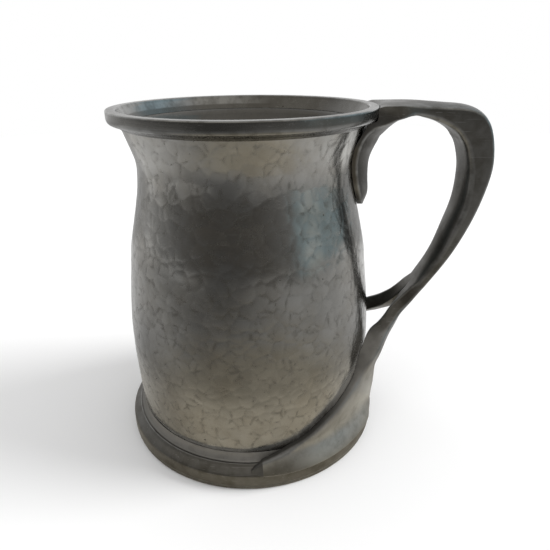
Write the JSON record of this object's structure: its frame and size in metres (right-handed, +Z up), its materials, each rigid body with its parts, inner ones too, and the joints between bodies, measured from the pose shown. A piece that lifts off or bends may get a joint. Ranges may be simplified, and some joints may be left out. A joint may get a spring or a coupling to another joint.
{
  "type": "tankard",
  "caption": "Hammered pewter tankard with a bellied body, waisted neck, turned rim and foot, and a cast strap handle that forks into two arms; for drinking from.",
  "frame": {"origin": "at table level under the middle of the whole tankard, handle included; the vessel's axis is 17.1 mm from it along -X", "axes": "+Z up along the vessel's axis, +X towards the handle, Y across the handle's width"},
  "size_m": [0.133, 0.1014, 0.1222],
  "materials": {
    "body_shell": "hammered, dull oxidised pewter",
    "base_plate": "plain dull pewter",
    "foot_ring": "turned, dull pewter",
    "rim_band": "turned, satin pewter",
    "handle": "cast, rubbed pewter"
  },
  "bodies": {
    "root": {"body_shell": "body_shell", "base_plate": "base_plate", "foot_ring": "foot_ring", "rim_band": "rim_band", "handle": "handle"}
  },
  "joints": []
}
